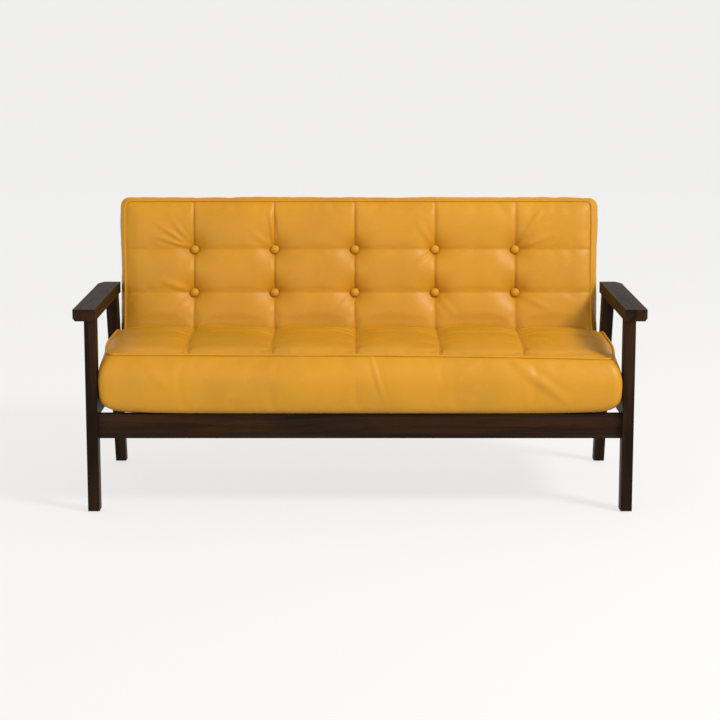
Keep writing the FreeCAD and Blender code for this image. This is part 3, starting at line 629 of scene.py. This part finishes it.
def back_point(x, depth, tall, settings):
    """A place on the back cushion: x in metres, depth from 0 to 1 front to rear, tall from 0 to 1."""
    away = BACK_DEPTH * depth
    swell = math.sin(math.pi / 2 * min(1.0, depth / 0.30)) ** 0.8
    settle = max(0.0, min(1.0, (depth - 0.45) / 0.2))
    above_arms = max(0.0, min(1.0, (tall - 0.58) / 0.32))
    spread = 0.006 * above_arms * above_arms * (3 - 2 * above_arms)
    width = BACK_PIPING_HALF + 0.7 * spread + (0.0192 - 0.0034 * settle + 0.3 * spread) * swell
    lean = BACK_PIPING_SHIFT + 0.003 * swell + 0.003 * settle
    top = BACK_SEAM + 0.003 + 0.0145 * swell * (1 - 0.35 * max(0.0, depth - 0.6))
    foot = away * math.tan(RECLINE) + 0.0004
    along = foot + (top - foot) * tall
    px, pv = rounded(x / BACK_HIGH.x * width, -along, width, -top, 1.0, 0.020 + 0.010 * swell, 0.001)
    along = -pv
    if depth <= 0:
        away = back_face(px + lean, along, settings)
    return on_back(px + lean, away, along)


def back_loop(settings):
    """The front piping's line, up one side, over the top and down the other."""
    tall = [i / 60 for i in range(61)]
    across = [BACK_HIGH.x * (2 * i / 150 - 1) for i in range(1, 150)]
    left = [back_point(BACK_LOW.x, 0.0, t, settings) for t in tall]
    top = [back_point(x, 0.0, 1.0, settings) for x in across]
    right = [back_point(BACK_HIGH.x, 0.0, t, settings) for t in reversed(tall)]
    return left + top + right


# ---- operators ----------------------------------------------------------------------------------
class SOFA_OT_stage(bpy.types.Operator):
    """Makes the floor, the lights and the camera"""
    bl_idname = "sofa.stage"
    bl_label = "Stage"

    def execute(self, context):
        scene = context.scene
        scene.view_settings.view_transform = "Standard"
        bm = bmesh.new()
        profile = [(0.0, 0.0)] + [(9.0 + 3.0 * math.sin(a), 3.0 - 3.0 * math.cos(a))
                                  for a in (math.radians(9 * i) for i in range(11))] + [(12.0, 9.0)]
        verts = [bm.verts.new((radius, 0, height)) for radius, height in profile]
        for a, b in zip(verts, verts[1:]):
            bm.edges.new((a, b))
        bmesh.ops.spin(bm, geom=bm.verts[:] + bm.edges[:], cent=(0, 0, 0), axis=(0, 0, 1), angle=2 * math.pi,
                       steps=96, use_merge=True, use_duplicate=False)
        bmesh.ops.remove_doubles(bm, verts=bm.verts, dist=1e-5)
        bmesh.ops.recalc_face_normals(bm, faces=bm.faces)
        bmesh.ops.reverse_faces(bm, faces=bm.faces)
        mesh = bpy.data.meshes.new("studio_floor")
        bm.to_mesh(mesh)
        bm.free()
        mesh.shade_smooth()
        floor = bpy.data.objects.new("studio_floor", mesh)
        scene.collection.objects.link(floor)
        finish = Finish("studio_floor")
        tone = finish.noise(finish.place(), 0.6, 2.0)
        colour = context.scene.sofa_finish.floor
        paint = finish.mix(shade(colour, 0.995), shade(colour, 1.005), tone)
        mesh.materials.append(finish.done(Base_Color=paint, Roughness=0.8, Specular_IOR_Level=0.1,
                                          Emission_Color=(1.0, 0.998, 0.994, 1), Emission_Strength=0.70))

        world = bpy.data.worlds.new("studio")
        world.use_nodes = True
        world.node_tree.nodes["Background"].inputs["Color"].default_value = (1.0, 0.995, 0.99, 1)
        world.node_tree.nodes["Background"].inputs["Strength"].default_value = 0.62
        scene.world = world
        self.light("key_light", (3.9, -3.0, 4.3), (0, 0, 0.45), 1.4, 300.0, (1.0, 0.98, 0.95))
        self.light("fill_light", (-1.5, -6.5, 2.2), (0, 0, 0.4), 4.0, 62.0, (1.0, 0.99, 0.98))

        data = bpy.data.cameras.new("camera")
        data.sensor_width = 36.0
        data.lens = 91.1
        data.shift_y = -0.0833
        camera = bpy.data.objects.new("camera", data)
        camera.location = (0.0, -5.548, 1.440)
        camera.rotation_euler = (math.radians(90 - 8.83), 0, 0)
        scene.collection.objects.link(camera)
        scene.camera = camera
        return {"FINISHED"}

    def light(self, name, place, aim, size, power, colour):
        """A square soft light that looks at a point."""
        data = bpy.data.lights.new(name, "AREA")
        data.shape = "SQUARE"
        data.size = size
        data.energy = power
        data.color = colour
        lamp = bpy.data.objects.new(name, data)
        lamp.location = place
        lamp.rotation_euler = (Vector(aim) - Vector(place)).to_track_quat("-Z", "Y").to_euler()
        bpy.context.scene.collection.objects.link(lamp)


class SOFA_OT_wooden_frame(bpy.types.Operator):
    """Stains the legs, armrests, rails and slats, with the grain along each piece"""
    bl_idname = "sofa.wooden_frame"
    bl_label = "Wooden frame"

    def execute(self, context):
        colour = tuple(context.scene.sofa_finish.wood)
        rake = math.atan2(REAR_LEG_RUN, REAR_LEG_RISE)
        dress(["front_leg_left", "front_leg_right"], wood_finish("stained_wood_upright", colour, 2))
        dress(["rear_leg_left", "rear_leg_right"], wood_finish("stained_wood_raked", colour, 2, -rake))
        dress(["front_rail", "rear_rail"], wood_finish("stained_wood_across", colour, 0))
        dress(["armrest_left", "armrest_right", "side_rail_left", "side_rail_right"],
              wood_finish("stained_wood_deep", colour, 1, 0.0, 0.46))
        slats = [name for name in nodes if name.startswith("seat_slat_")]
        pale = (0.50, 0.30, 0.14, 1.0)
        dress(slats + ["centre_stretcher"], wood_finish("plain_wood_deep", pale, 1, 0.0, 0.6, 0.4))
        dress(["front_cleats", "rear_cleats", "back_top_rail", "back_bottom_rail"],
              wood_finish("plain_wood_across", pale, 0, 0.0, 0.6, 0.4))
        dress(["back_stile_left", "back_stile_right"] + [n for n in nodes if n.startswith("back_strut_")],
              wood_finish("plain_wood_leaning", pale, 2, RECLINE, 0.6, 0.4))
        dress(["back_board"], plywood_finish("plywood"))
        return {"FINISHED"}


class SOFA_OT_hardware(bpy.types.Operator):
    """Finishes the bolts, screws, dowels, glides, spacers, twine and zip"""
    bl_idname = "sofa.hardware"
    bl_label = "Hardware"

    def execute(self, context):
        colours = context.scene.sofa_finish
        dress(["rail_bolts", "barrel_nuts", "slat_screws", "cleat_screws", "back_bolts", "back_inserts",
               "back_base_bolts"], metal_finish("zinc_plated_steel"))
        dress(["foot_glides", "back_spacers", "tufting_anchors"],
              plastic_finish("black_plastic", (0.012, 0.012, 0.012, 1)))
        dress(["dowels"], wood_finish("dowel_wood", (0.55, 0.36, 0.18, 1.0), 0, 0.0, 0.6, 0.3))
        dress(["tufting_twine"], thread_finish("waxed_twine", (0.62, 0.55, 0.38, 1)))
        dress(["seat_zip"], zip_finish("zip", tuple(colours.leather)))
        dress(["seat_foam", "back_foam"], foam_finish("foam"))
        return {"FINISHED"}


class SOFA_OT_seat_cushion(bpy.types.Operator):
    """Makes the loose seat cushion's leather cover with its sewn channels"""
    bl_idname = "sofa.seat_cushion"
    bl_label = "Seat cushion"

    def execute(self, context):
        sewing = context.scene.sofa_upholstery
        wide = SEAT_HIGH.x
        across = lines([-wide, *SEAT_SEAMS, wide], sewing.grid)
        deep = lines([0.0, 1.0], sewing.grid / 0.5)
        tall = lines([0.0, 1.0], sewing.grid / 0.17)
        bm, cells, counts = gridded(across, deep, tall)
        held, seams, loose = [], [], []
        seam_columns = {across.index(seam) for seam in SEAT_SEAMS}
        for i, (vert, (a, b, c)) in enumerate(zip(bm.verts, cells)):
            on_top, on_edge = c == counts[2], a in (0, counts[0]) or b in (0, counts[1])
            vert.co = seat_point(*vert.co, sewing.seat_puff)
            if on_top and a in seam_columns:
                vert.co.z -= 0.0035 * math.sin(math.pi * b / counts[1]) ** 0.3
            if on_top and not on_edge:
                vert.co.z += 0.0022 * noise.noise(vert.co * 6.0)
            sewn = on_top and (on_edge or a in seam_columns)
            if sewn:
                seams.append(i)
            if sewn or c == 0 or b == counts[1]:
                held.append(i)
            else:
                loose.append(i)
        leather = leather_finish("seat_leather", tuple(context.scene.sofa_finish.leather))
        cushion = new_piece("seat_cushion", bm, leather, "seat_cushion", ["seat_cover", "seat_foam"])
        swollen(cushion, held, sewing, [0.010 if c == counts[2] else 0.0022 for a, b, c in cells])
        relaxed(cushion, loose, 1)
        for i in loose:
            vert = cushion.data.vertices[i]
            vert.co.x = max(-SEAT_HIGH.x, min(SEAT_HIGH.x, vert.co.x))
        subdivided(cushion, seams)
        sculpted(cushion, self.creases)
        for vert in cushion.data.vertices:     # clear of the legs and of the back
            vert.co.x = max(-SEAT_HIGH.x, min(SEAT_HIGH.x, vert.co.x))
            vert.co.y = min(vert.co.y, seat_rear(vert.co.z))
        mark_painted_shade(cushion, self.sewn)
        return {"FINISHED"}

    def creases(self, place, normal):
        """Soft creases of the front face and of the top beside its rear edge."""
        height = 0.0007 * noise.noise(place * 14.0) if place.z > SEAT_LOW.z + 0.01 else 0.0
        if normal.y < -0.4:
            flat = Vector((place.x, 0, place.z))
            height += fold(flat, (0.035, 0, 0.452), (0.068, 0, 0.345), 0.0065, 0.0026)
            height += fold(flat, (0.455, 0, 0.445), (0.590, 0, 0.345), 0.013, 0.0036)
            height += fold(flat, (-0.62, 0, 0.440), (-0.55, 0, 0.360), 0.014, 0.0012)
        if normal.z > 0.4:
            flat = Vector((place.x, place.y, 0))
            for left, right in zip((-0.74, *SEAT_SEAMS), (*SEAT_SEAMS, 0.74)):
                height += fold(flat, (left + 0.04, 0.000, 0), (right - 0.02, -0.022, 0), 0.018, 0.0034)
                height += fold(flat, (right - 0.090, 0.048, 0), (right - 0.010, 0.030, 0), 0.009, 0.0052)
                height += fold(flat, (right - 0.100, 0.004, 0), (right - 0.008, -0.020, 0), 0.009, 0.0048)
                height += fold(flat, (left + 0.010, 0.090, 0), (left + 0.120, 0.098, 0), 0.012, 0.0030)
        return height

    # Painted shade at a place: in the top's seams and in a band along the piping line.
    def sewn(self, place):
        if place.z > SEAT_SEAM_Z - 0.004:
            gap = nearest(place.x, SEAT_SEAMS)
            return max(0.7 * math.exp(-(gap / 0.0045) ** 2),
                       math.exp(-((place.z - SEAT_SEAM_Z) / 0.003) ** 2) * 0.6)
        return math.exp(-((place.z - SEAT_SEAM_Z) / 0.006) ** 2) * 0.6


class SOFA_OT_seat_sewing(bpy.types.Operator):
    """Makes the seat cushion's piping and its stitching"""
    bl_idname = "sofa.seat_sewing"
    bl_label = "Seat piping and stitching"

    def execute(self, context):
        sewing, colours = context.scene.sofa_upholstery, context.scene.sofa_finish
        loop = [point + Vector((0, 0, 0.0018 + 0.0009 * noise.noise(point * 9.0))) for point in seat_loop()]
        for point in loop:                     # the cord's own half stays clear of the back
            point.y = min(point.y, seat_rear(point.z) - SEAT_BACK_CLEAR)
        corded("seat_piping_cord", loop, sewing.piping, True,
               leather_finish("piping_leather", tuple(colours.leather), 0.7),
               "seat_cushion", ["seat_piping"])
        thread = thread_finish("seat_thread", tuple(colours.thread))
        runs = [seat_seam_path(seam, sewing.seat_puff) for seam in SEAT_SEAMS]
        stitched("seat_stitching", runs, bpy.data.objects["seat_cushion"], sewing.stitch, thread,
                 "seat_cushion")
        return {"FINISHED"}


class SOFA_OT_back_cushion(bpy.types.Operator):
    """Makes the back's leather cover, drawn in by its seams and buttons"""
    bl_idname = "sofa.back_cushion"
    bl_label = "Back cushion"

    def execute(self, context):
        sewing = context.scene.sofa_upholstery
        wide = BACK_HIGH.x
        columns = [(seam - BACK_PIPING_SHIFT) * wide / BACK_PIPING_HALF for seam in BACK_SEAMS]
        rows = [row / (BACK_SEAM + 0.003) for row in BACK_ROWS]
        across = lines([-wide, *columns, wide], sewing.grid)
        deep = lines([0.0, 1.0], sewing.grid / BACK_DEPTH)
        tall = lines([0.0, *rows, 1.0], sewing.grid / BACK_SEAM)
        bm, cells, counts = gridded(across, deep, tall)
        seam_columns = {across.index(column) for column in columns}
        seam_rows = {tall.index(row) for row in rows}
        held, seams, loose = [], [], []
        for i, (vert, (a, b, c)) in enumerate(zip(bm.verts, cells)):
            x, depth, up = vert.co
            edge = a in (0, counts[0]) or c in (0, counts[2])
            in_front = b == 0
            vert.co = back_point(x, depth, up, sewing)
            sewn = in_front and (edge or a in seam_columns or c in seam_rows)
            if in_front and not edge and a in seam_columns:
                vert.co += INTO * 0.0028
            elif in_front and not edge and c in seam_rows:
                vert.co += INTO * 0.0010
            if in_front and (edge or a in seam_columns):
                seams.append(i)
            if sewn or c == 0 or depth > 0.55:
                held.append(i)
            else:
                loose.append(i)
        leather = leather_finish("back_leather", tuple(context.scene.sofa_finish.leather))
        cover = new_piece("back_cushion", bm, leather, "frame", ["back_cover", "back_foam"])
        swollen(cover, held, sewing, [0.007 if b == 0 else 0.004 for a, b, c in cells])
        relaxed(cover, loose, 1)
        subdivided(cover, seams)
        sculpted(cover, self.creases)
        for vert in cover.data.vertices:       # clear of the seat cushion, behind which it isn't seen
            x, depth, along = from_back(vert.co)
            above_seat = max(0.0, min(1.0, (vert.co.z - 0.492) / 0.05))
            foremost = -CROWN + 0.0004 - 0.0080 * above_seat
            if depth < foremost:
                vert.co = on_back(x, foremost, along)
        mark_painted_shade(cover, self.sewn)
        return {"FINISHED"}

    def creases(self, place, normal):
        """Folds that run out from the buttons, and the top edge's unevenness."""
        x, depth, along = from_back(place)
        height = 0.0006 * noise.noise(place * 13.0)
        if along > BACK_SEAM - 0.02 and depth > 0.01:
            height += 0.0022 * noise.noise(Vector((x * 9.0, 0.3, 0.7))) * max(0.0, normal.z)
        if normal.dot(INTO) < -0.35:
            flat = Vector((x, along, 0))
            top, low = BACK_ROWS[1], BACK_ROWS[0]
            for column, row, dx, dy, width, lift in (
                    (0, top, -0.115, 0.078, 0.0062, 0.0040), (0, top, -0.110, 0.036, 0.0062, 0.0036),
                    (0, top, -0.075, 0.100, 0.0070, 0.0024), (0, low, -0.100, 0.035, 0.009, 0.0020),
                    (1, top, -0.014, 0.110, 0.0062, 0.0036), (1, top, -0.070, 0.050, 0.009, 0.0018),
                    (2, top, 0.060, 0.070, 0.009, 0.0018), (2, low, -0.060, -0.060, 0.009, 0.0018),
                    (3, top, -0.055, -0.040, 0.0066, 0.0026), (3, low, 0.060, -0.070, 0.009, 0.0016),
                    (4, top, 0.080, 0.118, 0.0066, 0.0040), (4, top, 0.120, 0.045, 0.009, 0.0026),
                    (4, low, 0.100, -0.050, 0.010, 0.0020), (1, low, 0.060, 0.050, 0.009, 0.0016),
                    (3, top, -0.050, 0.080, 0.009, 0.0016), (0, low, -0.070, -0.080, 0.009, 0.0018)):
                start = Vector((BACK_SEAMS[column], row, 0))
                way = Vector((dx, dy, 0))
                height += fold(flat, start + way * 0.16, start + way, width, lift)
        return height

    # Painted shade at a place on the front: along the piping, in the seams and in the dimples round the
    # buttons; none further back.
    def sewn(self, place):
        x, depth, along = from_back(place)
        side = abs(BACK_PIPING_HALF - abs(x - BACK_PIPING_SHIFT))
        edge = math.exp(-(min(abs(BACK_SEAM + 0.003 - along), side) / 0.005) ** 2) * 0.6
        if depth > 0.012:
            return 0.0
        upright, level = nearest(x, BACK_SEAMS), nearest(along, BACK_ROWS)
        reach = min(math.hypot(x - seam, along - row) for seam in BACK_SEAMS for row in BACK_ROWS)
        return max(edge, 0.7 * math.exp(-(upright / 0.0035) ** 2), 0.4 * math.exp(-(level / 0.004) ** 2),
                   math.exp(-(reach / 0.026) ** 2))


class SOFA_OT_back_sewing(bpy.types.Operator):
    """Makes the back's piping and its stitching"""
    bl_idname = "sofa.back_sewing"
    bl_label = "Back piping and stitching"

    def execute(self, context):
        sewing, colours = context.scene.sofa_upholstery, context.scene.sofa_finish
        loop = [point - INTO * (0.0012 - 0.0008 * noise.noise(point * 8.0)) for point in back_loop(sewing)]
        corded("back_piping_cord", loop, sewing.piping, False,
               leather_finish("back_piping_leather", tuple(colours.leather), 0.7),
               "frame", ["back_piping"])
        thread = thread_finish("back_thread", tuple(colours.thread))
        runs = []
        for seam in BACK_SEAMS:
            stops = [0.20, BACK_ROWS[0] - 0.017, BACK_ROWS[0] + 0.017,
                     BACK_ROWS[1] - 0.017, BACK_ROWS[1] + 0.017, BACK_SEAM - 0.008]
            runs += [self.run((seam, low), (seam, high), sewing) for low, high in zip(stops[::2], stops[1::2])]
        ends = [-0.742, *BACK_SEAMS, 0.736]
        for row in BACK_ROWS:
            for a, b in zip(ends, ends[1:]):
                start = a if a == ends[0] else a + 0.017
                stop = b if b == ends[-1] else b - 0.017
                runs.append(self.run((start, row), (stop, row), sewing))
        stitched("back_stitching", runs, bpy.data.objects["back_cushion"], sewing.stitch, thread,
                 "frame")
        return {"FINISHED"}

    def run(self, start, stop, sewing):
        count = 24
        places = []
        for i in range(count + 1):
            x, along = (a + (b - a) * i / count for a, b in zip(start, stop))
            places.append(on_back(x, back_face(x, along, sewing), along))
        return places


class SOFA_OT_rear_panel(bpy.types.Operator):
    """Makes the leather panel over the rear of the back, with its hem"""
    bl_idname = "sofa.rear_panel"
    bl_label = "Rear panel"

    def execute(self, context):
        sewing, colours = context.scene.sofa_upholstery, context.scene.sofa_finish
        wide = REAR_HIGH.x
        across = lines([-wide, wide], 0.016)
        deep = [0.0, 1.0]
        tall = lines([0.0, 1.0], 0.016 / 0.57)
        bm, cells, counts = gridded(across, deep, tall)
        foot = BACK_DEPTH * math.tan(RECLINE) + 0.001
        top = BACK_SEAM + 0.004
        for vert in bm.verts:
            x, depth, up = vert.co
            along = foot + (top - foot) * up
            px, pv = rounded(x, -along, wide, -top, 1.0, 0.024, 0.001)
            rim = min(1.0, (wide - abs(px)) / 0.04, (along - foot) / 0.04, (top - along) / 0.04)
            swell = 0.0018 * max(0.0, rim) ** 0.5 + 0.0007 * noise.noise(Vector((px * 3.0, along * 5.0, 0.2)))
            vert.co = on_back(px, BACK_DEPTH - 0.0005 + (0.0016 + max(0.0, swell)) * depth, -pv)
        panel = new_piece("back_rear_panel", bm, leather_finish("rear_leather", tuple(colours.leather)),
                          "frame", ["back_rear_cover"])
        smoother = panel.modifiers.new("Smoother", "SUBSURF")
        smoother.levels = smoother.render_levels = 1
        inset = 0.010
        corners = [(-wide + inset, foot + inset), (-wide + inset, top - inset), (wide - inset, top - inset),
                   (wide - inset, foot + inset), (-wide + inset, foot + inset)]
        runs = [[on_back(x, BACK_DEPTH + 0.004, along) for x, along in pair]
                for pair in zip(corners, corners[1:])]
        thread = thread_finish("hem_thread", tuple(colours.thread))
        stitched("rear_hem_stitching", runs, panel, sewing.stitch, thread, "frame")
        return {"FINISHED"}


class SOFA_OT_buttons(bpy.types.Operator):
    """Makes the ten leather-covered buttons of the back"""
    bl_idname = "sofa.buttons"
    bl_label = "Buttons"

    def execute(self, context):
        profile = [(0.0, 0.0094), (0.0034, 0.0092), (0.0072, 0.0083), (0.0105, 0.0066), (0.0129, 0.0043),
                   (0.0141, 0.0018), (0.0139, -0.0006), (0.0122, -0.0022), (0.0060, -0.0026), (0.0, -0.0026)]
        bm = bmesh.new()
        for number, (x, along) in enumerate((x, row) for row in BACK_ROWS for x in BACK_SEAMS):
            place = on_back(x, BUTTON_SEAT, along)
            turn = Matrix((Vector((1, 0, 0)), ALONG, -INTO)).transposed().to_4x4()
            one = bmesh.new()
            verts = [one.verts.new((radius, 0, height)) for radius, height in profile]
            for a, b in zip(verts, verts[1:]):
                one.edges.new((a, b))
            bmesh.ops.spin(one, geom=one.verts[:] + one.edges[:], cent=(0, 0, 0), axis=(0, 0, 1),
                           angle=2 * math.pi, steps=40, use_merge=True, use_duplicate=False)
            bmesh.ops.remove_doubles(one, verts=one.verts, dist=1e-6)
            bmesh.ops.recalc_face_normals(one, faces=one.faces)
            for vert in one.verts:
                radius = math.hypot(vert.co.x, vert.co.y)
                angle = math.atan2(vert.co.y, vert.co.x)
                gather = 0.00022 * math.sin(angle * 10 + number * 1.7) * min(1.0, radius / 0.0148) ** 3
                vert.co.z += gather + 0.0003 * noise.noise(vert.co * 120.0 + Vector((number, 0, 0)))
            bmesh.ops.transform(one, matrix=Matrix.Translation(place) @ turn, verts=one.verts)
            mesh = bpy.data.meshes.new("button")
            one.to_mesh(mesh)
            one.free()
            bm.from_mesh(mesh)
            bpy.data.meshes.remove(mesh)
        leather = leather_finish("button_leather", tuple(context.scene.sofa_finish.leather), 0.7)
        new_piece("covered_buttons", bm, leather, "frame", ["tufting_buttons"])
        return {"FINISHED"}


class SOFA_PT_panel(bpy.types.Panel):
    """The sofa's pieces and their settings"""
    bl_idname = "SOFA_PT_panel"
    bl_label = "Sofa"
    bl_space_type = "VIEW_3D"
    bl_region_type = "UI"
    bl_category = "Sofa"

    def draw(self, context):
        for group in (context.scene.sofa_upholstery, context.scene.sofa_finish):
            for name in group.bl_rna.properties.keys():
                if name not in ("rna_type", "name"):
                    self.layout.prop(group, name)
        for operator in OPERATORS:
            self.layout.operator(operator.bl_idname)


OPERATORS = (SOFA_OT_stage, SOFA_OT_wooden_frame, SOFA_OT_hardware, SOFA_OT_seat_cushion, SOFA_OT_seat_sewing,
             SOFA_OT_back_cushion, SOFA_OT_back_sewing, SOFA_OT_rear_panel, SOFA_OT_buttons)
CLASSES = (SofaUpholstery, SofaFinish, *OPERATORS, SOFA_PT_panel)


def register():
    for cls in CLASSES:
        bpy.utils.register_class(cls)
    bpy.types.Scene.sofa_upholstery = PointerProperty(type=SofaUpholstery)
    bpy.types.Scene.sofa_finish = PointerProperty(type=SofaFinish)


def unregister():
    del bpy.types.Scene.sofa_upholstery
    del bpy.types.Scene.sofa_finish
    for cls in reversed(CLASSES):
        bpy.utils.unregister_class(cls)


def main():
    register()
    bpy.ops.sofa.stage()
    bpy.ops.sofa.wooden_frame()
    bpy.ops.sofa.hardware()
    bpy.ops.sofa.seat_cushion()
    bpy.ops.sofa.seat_sewing()
    bpy.ops.sofa.back_cushion()
    bpy.ops.sofa.back_sewing()
    bpy.ops.sofa.rear_panel()
    bpy.ops.sofa.buttons()


if __name__ == "__main__":
    main()
